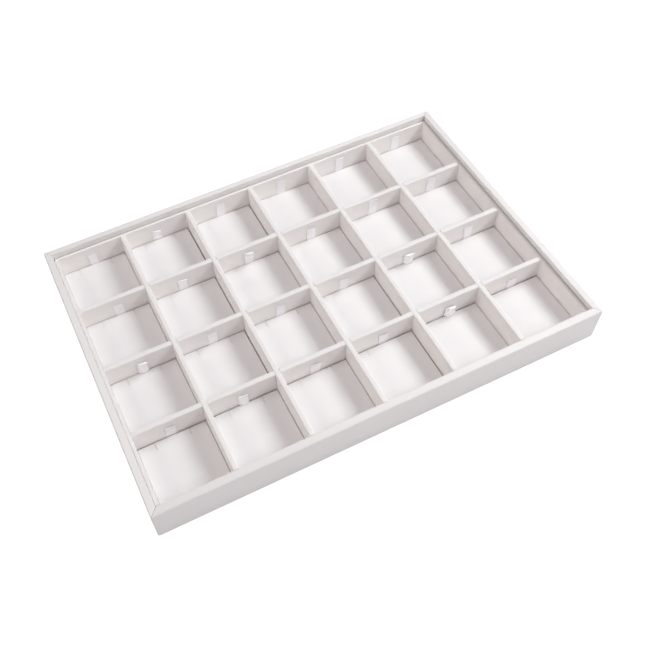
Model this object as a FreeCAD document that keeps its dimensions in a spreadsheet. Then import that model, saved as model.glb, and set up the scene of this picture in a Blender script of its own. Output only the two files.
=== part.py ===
import FreeCAD, Part
import math
import os

import Sketcher

# Jewelry tray: a shallow frame of covered boards, mitred at its corners, with liner boards inside it,
# an egg-crate of cross-halved dividers, and one lift-out pad with a ribbon pull in each compartment.
# Millimetres, +Z up, origin at the centre of the underside, +X along the long side, front at -Y.
# Rows are counted from the back and columns from the left.

Vector = FreeCAD.Vector

SIZES = [
    ("tray_length", 350.0, "outside, along X"),
    ("tray_width", 245.0, "outside, along Y"),
    ("tray_height", 31.0, "underside to rim"),
    ("wall_thickness", 5.6, "covered board of the outer frame"),
    ("corner_round", 1.8, "upright outside corners of the frame"),
    ("rim_outer_round", 1.6, "where the covering folds over the rim's outer edge"),
    ("rim_inner_round", 0.8, "where the covering folds over the rim's inner edge"),
    ("lining_thickness", 0.6, "felt under the base"),
    ("base_thickness", 2.4, "base board"),
    ("base_ledge", 2.8, "how far the base reaches under the walls"),
    ("base_fit", 0.1, "clearance round the base and its lining"),
    ("shadow_gap", 0.6, "between a wall and its liner"),
    ("liner_thickness", 2.2, "covered liner board"),
    ("liner_round", 0.5, "rounding of a liner's top edges"),
    ("rim_drop", 4.8, "how far liners and dividers stay below the rim"),
    ("divider_thickness", 4.0, "covered divider board"),
    ("divider_round", 0.7, "rounding of a divider's top edges"),
    ("lap_fit", 0.1, "clearance in the cross-halving notches"),
    ("pad_thickness", 4.6, "lift-out pad"),
    ("pad_side_clearance", 0.5, "pad to its left, right and front neighbours"),
    ("pad_back_clearance", 1.1, "pad to the board behind it, where the ribbon comes up"),
    ("pad_edge_round", 0.6, "top edge of a pad"),
    ("slit_width", 0.5, "chain slit"),
    ("slit_length", 6.0, "chain slit, from the pad's back edge"),
    ("slit_spacing", 26.0, "between the two slits of a pad"),
    ("ribbon_width", 7.0, "satin ribbon"),
    ("ribbon_ply", 0.3, "thickness of one ply"),
    ("ribbon_clearance", 0.15, "ribbon to its pad, to the base and to the board behind it"),
    ("ribbon_fold", 0.2, "inside radius where it turns under the pad"),
    ("ribbon_tail", 14.0, "length held under the pad"),
    ("ribbon_stand", 13.0, "height of an upright pull above its pad"),
    ("ribbon_rise", 0.6, "upright stretch above the pad before a pull leans"),
    ("ribbon_bend", 2.5, "radius where a pull leans forward and where its plies close"),
    ("ribbon_eye", 1.1, "radius of the fold at the tip of a pull"),
]

COLUMNS = 6
ROWS = 4

# How far each pull leans forward, in degrees, row by row from the back.
RIBBON_LEAN_DEGREES = [
    [2, 4, 2, 2, 2, 2],
    [2, 3, 5, 2, 2, 2],
    [6, 2, 2, 2, 8, 2],
    [2, 6, 2, 2, 8, 2],
]

# How much of the stand height each pull has, in the same order.
RIBBON_STAND_SHARES = [
    [1.06, 1.05, 1.15, 1.22, 1.26, 1.28],
    [1.16, 1.11, 1.05, 1.08, 1.24, 1.21],
    [1.22, 1.21, 1.13, 1.05, 0.88, 1.11],
    [1.14, 1.08, 1.06, 0.89, 0.80, 0.90],
]

# How wide the fold at each pull's tip is, as a share of the sheet's fold.
RIBBON_EYE_SHARES = [
    [0.7, 1.4, 0.7, 0.7, 0.7, 0.7],
    [0.7, 1.0, 2.0, 0.7, 0.7, 0.7],
    [1.8, 0.7, 0.7, 0.7, 1.9, 0.7],
    [0.7, 1.4, 0.7, 0.8, 2.1, 0.7],
]

# How far to the right of its pad's middle each ribbon is fixed, as a share of the ribbon's width.
RIBBON_ASIDE_SHARES = [
    [0.06, -0.14, 0, -0.04, -0.09, -0.25],
    [0.36, -0.11, -0.07, -0.09, 0, -0.09],
    [0.04, 0.01, 0.04, -0.21, -0.07, -0.05],
    [0, -0.11, 0.12, 0.11, 0.16, 0.23],
]
LARGEST_ASIDE_SHARE = max(abs(share) for row_shares in RIBBON_ASIDE_SHARES for share in row_shares)

# The part of a pull's straight length over which its two plies close together below the tip.
EYE_CLOSING_SHARE = 0.85

# A rounding takes at most this part of the board that it is on.
LARGEST_ROUND_SHARE = 0.4

ALONG_X = Vector(1, 0, 0)
ALONG_Y = Vector(0, 1, 0)
UPWARD = Vector(0, 0, 1)
HALF_TURN = FreeCAD.Placement(Vector(), FreeCAD.Rotation(UPWARD, 180))

doc = FreeCAD.newDocument("JewelryTray")
sheet = doc.addObject("Spreadsheet::Sheet", "Sizes")
for line, (alias, size, note) in enumerate(SIZES, start=1):
    sheet.set(f"A{line}", note)
    sheet.set(f"B{line}", str(size))
    sheet.setAlias(f"B{line}", alias)
doc.recompute()

# Expressions on the sheet that several pieces share.
FLOOR = "(Sizes.lining_thickness + Sizes.base_thickness)"
BOARD_HEIGHT = f"(Sizes.tray_height - Sizes.rim_drop - {FLOOR})"
BASE_MARGIN = "(Sizes.wall_thickness - Sizes.base_ledge)"
LINER_OUTSIDE = "(Sizes.wall_thickness + Sizes.shadow_gap)"
LINER_INSIDE = f"({LINER_OUTSIDE} + Sizes.liner_thickness)"
INNER_LENGTH = f"(Sizes.tray_length - 2 * {LINER_INSIDE})"
INNER_WIDTH = f"(Sizes.tray_width - 2 * {LINER_INSIDE})"
CELL_LENGTH = f"(({INNER_LENGTH} - {COLUMNS - 1} * Sizes.divider_thickness) / {COLUMNS})"
CELL_WIDTH = f"(({INNER_WIDTH} - {ROWS - 1} * Sizes.divider_thickness) / {ROWS})"
COLUMN_PITCH = f"({CELL_LENGTH} + Sizes.divider_thickness)"
ROW_PITCH = f"({CELL_WIDTH} + Sizes.divider_thickness)"
PAD_LENGTH = f"({CELL_LENGTH} - 2 * Sizes.pad_side_clearance)"
PAD_WIDTH = f"({CELL_WIDTH} - Sizes.pad_side_clearance - Sizes.pad_back_clearance)"
RECESS_DEPTH = "(2 * Sizes.ribbon_ply + 2 * Sizes.ribbon_clearance)"


def value_of(expression):
    """The number that an expression on the sheet comes to."""
    return float(sheet.evalExpression(expression))


def inset(side, margin):
    """The distance from the tray's middle to a line that lies a margin inside its outside."""
    return f"(Sizes.{side} / 2 - {margin})"


def rounding_for(radius, thickness):
    """A rounding's radius, limited by the board that it is on."""
    return f"min(Sizes.{radius}; {LARGEST_ROUND_SHARE} * Sizes.{thickness})"


def new_body(label):
    """An empty body with its own label."""
    body = doc.addObject("PartDesign::Body", label)
    body.Label = label
    return body


def twin(label, original, placement):
    """A second body of the same shape, at its own place."""
    body = new_body(label)
    copy = body.newObject("PartDesign::FeatureBase", f"{label}_copy")
    copy.BaseFeature = original
    body.Tip = copy
    body.Placement = placement
    doc.recompute()
    return body


def point_at(place):
    """The point in a sketch that a pair of expressions gives."""
    across, up = place
    return Vector(value_of(across), value_of(up))


def bind_point(sketch, geometry, position, place, kinds=("DistanceX", "DistanceY")):
    """Binds a point of a sketch to expressions for its distances from the origin."""
    for kind, expression in zip(("DistanceX", "DistanceY"), place):
        if kind in kinds:
            bound = Sketcher.Constraint(kind, -1, 1, geometry, position, value_of(expression))
            sketch.setExpression(f"Constraints[{sketch.addConstraint(bound)}]", expression)


def outline(body, role, name, corners, arc_centres=None):
    """A closed sketch, counter-clockwise, whose corners are pairs of expressions and are all bound.

    The side that sets off from a corner is straight, or an arc where that corner's number has a centre.
    """
    arc_centres = arc_centres or {}
    sketch = body.newObject("Sketcher::SketchObject", name)
    plane = next(feature for feature in body.Origin.OriginFeatures if feature.Role == role)
    sketch.AttachmentSupport = [(plane, "")]
    sketch.MapMode = "FlatFace"
    places = [point_at(corner) for corner in corners]
    count = len(places)
    for index, place in enumerate(places):
        end = places[(index + 1) % count]
        side = Part.LineSegment(place, end)
        if index in arc_centres:
            centre = point_at(arc_centres[index])
            circle = Part.Circle(centre, UPWARD, place.distanceToPoint(centre))
            start_angle, end_angle = circle.parameter(place), circle.parameter(end)
            if end_angle < start_angle:
                end_angle += 2 * math.pi
            side = Part.ArcOfCircle(circle, start_angle, end_angle)
        sketch.addGeometry(side, False)
    for index, corner in enumerate(corners):
        sketch.addConstraint(Sketcher.Constraint("Coincident", index, 2, (index + 1) % count, 1))
        kinds = ("DistanceX", "DistanceY")
        arc_before = arc_centres.get((index - 1) % count)
        if arc_before:
            # An arc's centre and start give its circle, so one distance, along the arc, places its end.
            spoke = places[index] - point_at(arc_before)
            kinds = ("DistanceY",) if abs(spoke.x) > abs(spoke.y) else ("DistanceX",)
        bind_point(sketch, index, 1, corner, kinds)
        if index in arc_centres:
            bind_point(sketch, index, 3, arc_centres[index])
    doc.recompute()
    return sketch


def rectangle(left, right, low, high):
    """The corners of a rectangle between four expressions."""
    return [(left, low), (right, low), (right, high), (left, high)]


def raise_board(body, sketch, name, length, midplane=False):
    """Thickens a sketch by an expression."""
    board = body.newObject("PartDesign::Pad", name)
    board.Profile = sketch
    board.SideType = "Symmetric" if midplane else "One side"
    board.setExpression("Length", length)
    doc.recompute()
    return board


def cut_away(body, sketch, name, length, midplane=False):
    """Cuts a sketch away by an expression, upwards or to both sides, and makes sure that it cut something."""
    before = body.Shape.Volume
    cut = body.newObject("PartDesign::Pocket", name)
    cut.Profile = sketch
    cut.SideType = "Symmetric" if midplane else "One side"
    cut.Reversed = not midplane
    cut.setExpression("Length", length)
    doc.recompute()
    if not body.Shape.Volume < before:
        raise RuntimeError(f"{body.Label}: {name} cuts nothing")
    return cut


def round_edges(body, base, name, radius, wanted):
    """Rounds the edges of a feature that a test picks, by an expression."""
    edges = [f"Edge{number}" for number, edge in enumerate(base.Shape.Edges, start=1) if wanted(edge)]
    if not edges:
        raise RuntimeError(f"{body.Label}: {name} finds no edge")
    rounding = body.newObject("PartDesign::Fillet", name)
    rounding.Base = (base, edges)
    rounding.setExpression("Radius", radius)
    doc.recompute()
    return rounding


def runs_along(edge, direction):
    """Whether an edge is straight and runs along a direction."""
    run = edge.Vertexes[-1].Point - edge.Vertexes[0].Point
    return math.isclose(abs(run.dot(direction)), edge.Length, rel_tol=1e-6)


def is_at_top(edge, base):
    """Whether an edge lies in the top of a feature."""
    bounds = base.Shape.BoundBox
    return math.isclose(edge.BoundBox.ZMin, bounds.ZMax, abs_tol=bounds.ZLength * 1e-6)


def round_top(body, board, name, radius, direction):
    """Rounds a board's two top edges along a direction."""
    return round_edges(
        body, board, name, radius, lambda edge: runs_along(edge, direction) and is_at_top(edge, board)
    )


def make_wall(label, corners, arc_centres, outward, middle):
    """A mitred wall, rebated at its foot for the base, with the inner and outer edge of its rim rounded."""
    body = new_body(label)
    plan = outline(body, "XY_Plane", f"{label}_plan", corners, arc_centres)
    raise_board(body, plan, f"{label}_board", "Sizes.tray_height")
    across = inset("tray_length", BASE_MARGIN)
    along = inset("tray_width", BASE_MARGIN)
    rebate_corners = rectangle(f"-{across}", across, f"-{along}", along)
    rebate_plan = outline(body, "XY_Plane", f"{label}_rebate_plan", rebate_corners)
    rebate = cut_away(body, rebate_plan, f"{label}_rebate", FLOOR)
    middle_reach = value_of(middle)

    def is_rim_edge(edge, base, outside):
        follows_wall = edge.Curve.TypeId == "Part::GeomCircle" or runs_along(edge, outward.cross(UPWARD))
        on_side = (edge.CenterOfMass.dot(outward) > middle_reach) == outside
        return follows_wall and on_side and is_at_top(edge, base)

    inner_round = rounding_for("rim_inner_round", "wall_thickness")
    outer_round = rounding_for("rim_outer_round", "wall_thickness")
    inner = round_edges(
        body, rebate, f"{label}_inner_rim", inner_round, lambda edge: is_rim_edge(edge, rebate, False)
    )
    round_edges(body, inner, f"{label}_outer_rim", outer_round, lambda edge: is_rim_edge(edge, inner, True))
    return body


def make_walls():
    """Four walls that meet at 45 degrees, their outer corners rounded, each with its twin opposite."""
    out_x, out_y = inset("tray_length", "0"), inset("tray_width", "0")
    in_x, in_y = inset("tray_length", "Sizes.wall_thickness"), inset("tray_width", "Sizes.wall_thickness")
    arc_x, arc_y = inset("tray_length", "Sizes.corner_round"), inset("tray_width", "Sizes.corner_round")
    # Where the 45 degree line of a mitre leaves the rounded corner.
    mitre_inset = "Sizes.corner_round * (1 - sqrt(0.5))"
    mitre_x, mitre_y = inset("tray_length", mitre_inset), inset("tray_width", mitre_inset)
    front = make_wall(
        "front_wall",
        [
            (f"-{mitre_x}", f"-{mitre_y}"),
            (f"-{arc_x}", f"-{out_y}"),
            (arc_x, f"-{out_y}"),
            (mitre_x, f"-{mitre_y}"),
            (in_x, f"-{in_y}"),
            (f"-{in_x}", f"-{in_y}"),
        ],
        {0: (f"-{arc_x}", f"-{arc_y}"), 2: (arc_x, f"-{arc_y}")},
        -ALONG_Y,
        inset("tray_width", "Sizes.wall_thickness / 2"),
    )
    right = make_wall(
        "right_wall",
        [
            (mitre_x, f"-{mitre_y}"),
            (out_x, f"-{arc_y}"),
            (out_x, arc_y),
            (mitre_x, mitre_y),
            (in_x, in_y),
            (in_x, f"-{in_y}"),
        ],
        {0: (arc_x, f"-{arc_y}"), 2: (arc_x, arc_y)},
        ALONG_X,
        inset("tray_length", "Sizes.wall_thickness / 2"),
    )
    return [front, right, twin("back_wall", front, HALF_TURN), twin("left_wall", right, HALF_TURN)]


def make_panel(label, thickness, height):
    """A flat panel that fits in the walls' rebate, with its underside at a height."""
    body = new_body(label)
    across = inset("tray_length", f"{BASE_MARGIN} - Sizes.base_fit")
    along = inset("tray_width", f"{BASE_MARGIN} - Sizes.base_fit")
    plan = outline(body, "XY_Plane", f"{label}_plan", rectangle(f"-{across}", across, f"-{along}", along))
    raise_board(body, plan, f"{label}_panel", thickness)
    body.setExpression("Placement.Base.z", height)
    return body


def make_liner(label, corners, direction):
    """A liner board that stands on the base, with its top edges rounded."""
    body = new_body(label)
    plan = outline(body, "XY_Plane", f"{label}_plan", corners)
    board = raise_board(body, plan, f"{label}_board", BOARD_HEIGHT)
    round_top(body, board, f"{label}_top", rounding_for("liner_round", "liner_thickness"), direction)
    body.setExpression("Placement.Base.z", FLOOR)
    return body


def make_liners():
    """Long liners that run the whole inside length, and short ones that stand between them."""
    out_x, out_y = inset("tray_length", LINER_OUTSIDE), inset("tray_width", LINER_OUTSIDE)
    in_x, in_y = inset("tray_length", LINER_INSIDE), inset("tray_width", LINER_INSIDE)
    front = make_liner("front_liner", rectangle(f"-{out_x}", out_x, f"-{out_y}", f"-{in_y}"), ALONG_X)
    right = make_liner("right_liner", rectangle(in_x, out_x, f"-{in_y}", in_y), ALONG_Y)
    liners = [front, right]
    for label, original in (("back_liner", front), ("left_liner", right)):
        liner = twin(label, original, HALF_TURN)
        liner.setExpression("Placement.Base.z", FLOOR)
        liners.append(liner)
    return liners


def pattern(body, name, sketch, axis, occurrences, pitch):
    """An even row of copies along an axis of a sketch."""
    row = body.newObject("PartDesign::LinearPattern", name)
    row.Direction = (sketch, [axis])
    row.Mode = "Spacing"
    row.Occurrences = occurrences
    row.setExpression("Offset", pitch)
    return row


def make_dividers(label, role, direction, length, notch_span, crossings, copies):
    """Equal boards in a row, each notched halfway through where the boards of the other set cross it."""
    crossing_count, crossing_pitch = crossings
    copy_count, copy_pitch = copies
    body = new_body(label)
    face_corners = rectangle(f"-{length} / 2", f"{length} / 2", "0", BOARD_HEIGHT)
    face = outline(body, role, f"{label}_face", face_corners)
    board = raise_board(body, face, f"{label}_board", "Sizes.divider_thickness", midplane=True)
    round_top(body, board, f"{label}_top", rounding_for("divider_round", "divider_thickness"), direction)
    plain_volume = body.Shape.Volume
    first = f"(-{crossing_pitch} * {crossing_count - 1} / 2)"
    half_notch = "(Sizes.divider_thickness / 2 + Sizes.lap_fit)"
    notch_corners = rectangle(f"{first} - {half_notch}", f"{first} + {half_notch}", *notch_span)
    notch_face = outline(body, role, f"{label}_notch_face", notch_corners)
    notch = cut_away(body, notch_face, f"{label}_notch", "2 * Sizes.divider_thickness", midplane=True)
    notch_volume = plain_volume - body.Shape.Volume
    notches = pattern(body, f"{label}_notches", notch_face, "H_Axis", crossing_count, crossing_pitch)
    notches.Originals = [notch]
    body.Tip = notches
    doc.recompute()
    if not math.isclose(plain_volume - body.Shape.Volume, crossing_count * notch_volume, rel_tol=1e-6):
        raise RuntimeError(f"{label}: the notches are not all cut")
    boards = pattern(body, f"{label}_boards", face, "N_Axis", copy_count, copy_pitch)
    boards.TransformMode = "Whole shape"
    body.Tip = boards
    doc.recompute()
    if len(body.Shape.Solids) != copy_count:
        raise RuntimeError(f"{label}: {len(body.Shape.Solids)} boards")
    body.setExpression("Placement.Base.z", FLOOR)
    return body


def make_grid():
    """The egg-crate: long boards notched from above, cross boards notched from below, flush at the top."""
    lap = f"({BOARD_HEIGHT} / 2)"
    long_boards = make_dividers(
        "long_dividers",
        "XZ_Plane",
        ALONG_X,
        INNER_LENGTH,
        (lap, f"{BOARD_HEIGHT} + Sizes.lap_fit"),
        (COLUMNS - 1, COLUMN_PITCH),
        (ROWS - 1, ROW_PITCH),
    )
    cross_boards = make_dividers(
        "cross_dividers",
        "YZ_Plane",
        ALONG_Y,
        INNER_WIDTH,
        ("-Sizes.lap_fit", lap),
        (ROWS - 1, ROW_PITCH),
        (COLUMNS - 1, COLUMN_PITCH),
    )
    long_boards.setExpression("Placement.Base.y", f"{ROW_PITCH} * {ROWS - 2} / 2")
    cross_boards.setExpression("Placement.Base.x", f"-{COLUMN_PITCH} * {COLUMNS - 2} / 2")
    return [long_boards, cross_boards]


def make_pad(label):
    """A pad with its top edge rounded, two slits in its back edge and a recess for the ribbon's tails."""
    body = new_body(label)
    half_x, half_y = f"({PAD_LENGTH} / 2)", f"({PAD_WIDTH} / 2)"
    plan = outline(body, "XY_Plane", f"{label}_plan", rectangle(f"-{half_x}", half_x, f"-{half_y}", half_y))
    block = raise_board(body, plan, f"{label}_block", "Sizes.pad_thickness")
    edge_round = rounding_for("pad_edge_round", "pad_thickness")
    round_edges(body, block, f"{label}_edge", edge_round, lambda edge: is_at_top(edge, block))
    for side, sign in (("left", "-"), ("right", "")):
        middle = f"({sign}Sizes.slit_spacing / 2)"
        slit_corners = rectangle(
            f"{middle} - Sizes.slit_width / 2",
            f"{middle} + Sizes.slit_width / 2",
            f"{half_y} - Sizes.slit_length",
            f"{half_y} + Sizes.slit_width",
        )
        slit_plan = outline(body, "XY_Plane", f"{label}_{side}_slit_plan", slit_corners)
        cut_away(body, slit_plan, f"{label}_{side}_slit", "2 * Sizes.pad_thickness")
    half_recess = f"(({LARGEST_ASIDE_SHARE} + 1 / 2) * Sizes.ribbon_width + 2 * Sizes.ribbon_clearance)"
    recess_corners = rectangle(
        f"-{half_recess}",
        half_recess,
        f"{half_y} - Sizes.ribbon_tail - 2 * Sizes.ribbon_clearance",
        f"{half_y} + Sizes.ribbon_clearance",
    )
    recess_plan = outline(body, "XY_Plane", f"{label}_recess_plan", recess_corners)
    cut_away(body, recess_plan, f"{label}_recess", RECESS_DEPTH)
    return body


def cell_place(column, row):
    """Expressions for the middle of a compartment's floor."""
    x = f"{COLUMN_PITCH} * ({column} - {COLUMNS - 1} / 2)"
    y = f"{ROW_PITCH} * ({ROWS - 1} / 2 - {row})"
    return x, y


def make_pads():
    """One pad in each compartment, all of one shape, set forward to leave room for the ribbons."""
    pads = []
    for row in range(ROWS):
        for column in range(COLUMNS):
            label = f"pad_r{row + 1}c{column + 1}"
            pad = twin(label, pads[0], FreeCAD.Placement()) if pads else make_pad(label)
            x, y = cell_place(column, row)
            forward = "(Sizes.pad_back_clearance - Sizes.pad_side_clearance) / 2"
            pad.setExpression("Placement.Base.x", x)
            pad.setExpression("Placement.Base.y", f"{y} - {forward}")
            pad.setExpression("Placement.Base.z", FLOOR)
            pads.append(pad)
    return pads


def trace(place, heading, moves):
    """Edges that follow straight runs and turns in a plane across X, with where and which way they end.

    A move is ("run", length), or ("left" or "right", radius, degrees).
    """
    edges = []
    for kind, amount, *degrees in moves:
        if kind == "run":
            end = place + heading * amount
            edges.append(Part.LineSegment(place, end).toShape())
        else:
            turn = 1 if kind == "left" else -1
            centre = place + ALONG_X.cross(heading) * (turn * amount)
            swing = FreeCAD.Rotation(ALONG_X, turn * degrees[0])
            half_swing = FreeCAD.Rotation(ALONG_X, turn * degrees[0] / 2)
            middle = centre + half_swing.multVec(place - centre)
            end = centre + swing.multVec(place - centre)
            heading = swing.multVec(heading)
            edges.append(Part.Arc(place, middle, end).toShape())
        place = end
    return edges, place, heading


def ribbon_shape(lean, stand_share, eye_share):
    """A ribbon folded double, its plies glued together under and behind the pad, and open in the pull."""
    ply = value_of("Sizes.ribbon_ply")
    clearance = value_of("Sizes.ribbon_clearance")
    tail = value_of("Sizes.ribbon_tail")
    eye = eye_share * value_of("Sizes.ribbon_eye")
    bend = value_of("Sizes.ribbon_bend")
    rise = value_of("Sizes.ribbon_rise")
    fold = value_of("Sizes.ribbon_fold")
    width = value_of("Sizes.ribbon_width")
    outer_fold = fold + 2 * ply
    lean_height = value_of("Sizes.pad_thickness") + rise
    set_back = value_of("Sizes.pad_back_clearance") - clearance - 2 * ply
    stand = stand_share * value_of("Sizes.ribbon_stand") - rise - eye

    # Below the tip the front ply slants back along the line that touches both the fold and the closing bend.
    closing_radius = bend + ply / 2
    closing_drop = EYE_CLOSING_SHARE * stand
    closing_offset = ply + closing_radius - eye
    between_centres = math.hypot(closing_drop, closing_offset)
    slant_length = math.sqrt(between_centres**2 - (eye + closing_radius) ** 2)
    slant = math.asin((eye + closing_radius) / between_centres) - math.atan(closing_offset / closing_drop)
    slant_degrees = math.degrees(slant)

    start = Vector(-width / 2, -tail, clearance)
    back_moves = [
        ("run", tail + set_back - fold),
        ("left", outer_fold, 90),
        ("run", lean_height - clearance - outer_fold),
        ("left", bend + 2 * ply, lean),
    ]
    back, lean_end, upward = trace(start, ALONG_Y, back_moves)
    front_moves = [
        ("run", stand),
        ("left", eye + ply / 2, 180 + slant_degrees),
        ("run", slant_length),
        ("right", bend, slant_degrees),
        ("run", stand - closing_drop),
        ("right", bend, lean),
        ("run", lean_height - clearance - outer_fold),
        ("right", fold, 90),
        ("run", tail + set_back - fold),
    ]
    front, end, _ = trace(lean_end, upward, front_moves)
    outside = Part.Wire(back + front + [Part.LineSegment(end, start).toShape()])

    # The opening in the pull is a round eye that narrows to a point between the plies.
    inner_eye = eye - ply / 2
    opening_slant = (eye + inner_eye * math.cos(slant) - ply / 2) / math.sin(slant)
    opening_height = inner_eye * math.sin(slant) + opening_slant * math.cos(slant)
    point = lean_end + upward * (stand - opening_height) + ALONG_X.cross(upward) * ply
    opening_moves = [
        ("run", opening_height),
        ("left", inner_eye, 180 + slant_degrees),
        ("run", opening_slant),
    ]
    opening = Part.Wire(trace(point, upward, opening_moves)[0])
    face = Part.makeFace([outside, opening], "Part::FaceMakerBullseye")
    return face.extrude(ALONG_X * width)


def make_ribbons():
    """One pull behind each pad, near the middle of its back edge and close to the board behind it."""
    ribbons = []
    for row in range(ROWS):
        for column in range(COLUMNS):
            label = f"ribbon_r{row + 1}c{column + 1}"
            ribbon = doc.addObject("Part::Feature", label)
            ribbon.Label = label
            ribbon.Shape = ribbon_shape(
                RIBBON_LEAN_DEGREES[row][column],
                RIBBON_STAND_SHARES[row][column],
                RIBBON_EYE_SHARES[row][column],
            )
            x, y = cell_place(column, row)
            aside = f"{RIBBON_ASIDE_SHARES[row][column]} * Sizes.ribbon_width"
            back_edge = f"({CELL_WIDTH} / 2 - Sizes.pad_back_clearance)"
            ribbon.setExpression("Placement.Base.x", f"{x} + {aside}")
            ribbon.setExpression("Placement.Base.y", f"{y} + {back_edge}")
            ribbon.setExpression("Placement.Base.z", FLOOR)
            ribbons.append(ribbon)
    return ribbons


def check_document(pieces):
    """Stops if any object failed, or any piece has a bad shape."""
    doc.recompute()
    for thing in doc.Objects:
        if "Invalid" in thing.State or "Error" in thing.State:
            raise RuntimeError(f"{thing.Label}: {thing.State}")
    for piece in pieces:
        if piece.Shape.isNull() or not piece.Shape.isValid() or piece.Shape.Volume <= 0:
            raise RuntimeError(f"{piece.Label}: bad shape")


def main():
    """Builds every piece, checks them, and writes one file each."""
    pieces = make_walls()
    pieces.append(make_panel("base_lining", "Sizes.lining_thickness", "0"))
    pieces.append(make_panel("base_panel", "Sizes.base_thickness", "Sizes.lining_thickness"))
    pieces += make_liners()
    pieces += make_grid()
    pieces += make_pads()
    pieces += make_ribbons()
    check_document(pieces)
    os.makedirs("parts", exist_ok=True)
    for piece in pieces:
        piece.Shape.exportStep(f"parts/{piece.Label}.step")
    print(len(pieces), "pieces")


main()
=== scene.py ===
"""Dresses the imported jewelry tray.

Makes its covered boards, lift-out pads, ribbon pulls and felt underside, and a plain studio.
"""

import math

import bmesh
import bpy
from mathutils import Matrix, Vector, noise


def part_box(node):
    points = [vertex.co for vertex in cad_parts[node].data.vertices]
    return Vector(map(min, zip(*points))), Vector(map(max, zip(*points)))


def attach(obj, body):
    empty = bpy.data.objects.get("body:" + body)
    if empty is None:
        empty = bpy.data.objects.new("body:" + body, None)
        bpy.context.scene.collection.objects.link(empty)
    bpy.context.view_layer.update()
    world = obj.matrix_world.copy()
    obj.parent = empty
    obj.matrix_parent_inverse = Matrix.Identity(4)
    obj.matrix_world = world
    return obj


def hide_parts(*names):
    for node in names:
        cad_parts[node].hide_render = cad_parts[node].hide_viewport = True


bl_info = {
    "name": "Jewelry Tray",
    "version": (1, 0, 0),
    "blender": (4, 5, 0),
    "location": "View3D > Sidebar > Jewelry Tray",
    "description": "Covered jewelry tray with lift-out pads and ribbon pulls, built round its packed frame",
    "category": "Object",
}

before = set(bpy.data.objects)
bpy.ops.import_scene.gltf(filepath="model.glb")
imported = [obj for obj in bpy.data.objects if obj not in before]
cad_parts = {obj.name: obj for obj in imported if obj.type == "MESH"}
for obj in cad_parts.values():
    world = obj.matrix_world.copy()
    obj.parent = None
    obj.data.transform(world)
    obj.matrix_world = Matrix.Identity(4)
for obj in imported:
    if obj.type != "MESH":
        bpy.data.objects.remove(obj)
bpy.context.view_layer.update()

MM = 0.001
CUT_TOLERANCE = 1e-7
ROWS = 4
COLUMNS = 6
TRAY_BODY = "tray"

WALL_LOW, WALL_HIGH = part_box("front_wall")
PAD_LOW, PAD_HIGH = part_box("pad_r1c1")
LONG_LOW, LONG_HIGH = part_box("long_dividers")
CROSS_LOW, CROSS_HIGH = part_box("cross_dividers")
FELT_LOW, FELT_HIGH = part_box("base_lining")

FRONTWARD = Vector((0, -1, 0))
RIGHTWARD = Vector((1, 0, 0))
UPWARD = Vector((0, 0, 1))
HALF_TURN = Matrix.Rotation(math.pi, 4, "Z")

# How near counts as touching, as parallel and as a pad's rim, how many radians make an edge sharp, and how
# far a cutter stands out of what it cuts.
TOUCHING = 0.01 * MM
PARALLEL = 0.999
AT_RIM = 0.9999
SHARP_FOLD = 1
CUTTER_MARGIN = 1 * MM

# Angles in degrees up to which boards and soft pieces are shaded smooth.
BOARD_SMOOTH = 40
SOFT_SMOOTH = 50

# The part of a wall's height in which its rim slopes.
RIM_ZONE = 2 * MM

# The felt's free side: how uneven it is, as a share of its thickness, and how wide its thick places are.
FELT_UNEVENNESS = 0.16
FELT_PATCH = 14 * MM

# Where a pad's top is cut to take its crown, as shares of its half width and half length.
PAD_CUTS_ACROSS = (0.16, 0.33, 0.68, 0.84, 0.94)
PAD_CUTS_ALONG = (-0.94, -0.84, -0.6, -0.36, -0.12, 0.12, 0.36, 0.6, 0.9)
PAD_CROWN_POWER = 4

# A pad's slits: a cut beside each that keeps its edge crisp, the share of the rolled edge that they get, and
# the room round them that closes with them, in slit widths and slit lengths.
SLIT_SUPPORT = 0.4 * MM
SLIT_EDGE_SHARE = 0.2
SLIT_SIDE_ZONE = 2
SLIT_END_ZONE = 1.05

# Room for a ribbon's tails under its pad: height, and length beyond the tails.
RECESS_HEIGHT = 0.9 * MM
RECESS_SPARE = 0.5 * MM

# How uneven a pad's top is, how wide its soft places are, and how far apart in the noise two pads lie.
PAD_SOFTNESS = 0.05 * MM
PAD_PATCH = 17 * MM
PAD_NOISE_STEP = 7

# The satin's threads in millimetres, and the spacing of a wave texture's bands at a scale of one.
FLOAT_SPACING = 0.5
PICK_SPACING = 0.7
WAVE_BAND = math.pi / 10

# The camera of the picture: degrees, the tray's place in front of it in millimetres, and pixels.
PICTURE_SIDE = 650
CAMERA_AZIMUTH = -21.96
CAMERA_ELEVATION = 55.25
CAMERA_ROLL = -4.44
CAMERA_TO_TRAY = Vector((21.09, -15.86, 649.38))
CAMERA_FOCAL_PIXELS = 826.13
CAMERA_CENTRE_X = 285
SENSOR_WIDTH = 36
CAMERA_NEAR = 0.05
CAMERA_FAR = 20

# The studio in metres: the floor's side, how far it lies below the tray, and how much it is lifted to white.
FLOOR_SIDE = 8
FLOOR_DROP = 0.3 * MM
FLOOR_LIFT = 0.55
AMBIENT_COLOUR = (0.94, 0.92, 1.0, 1)
AMBIENT_STRENGTH = 0.345

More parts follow.
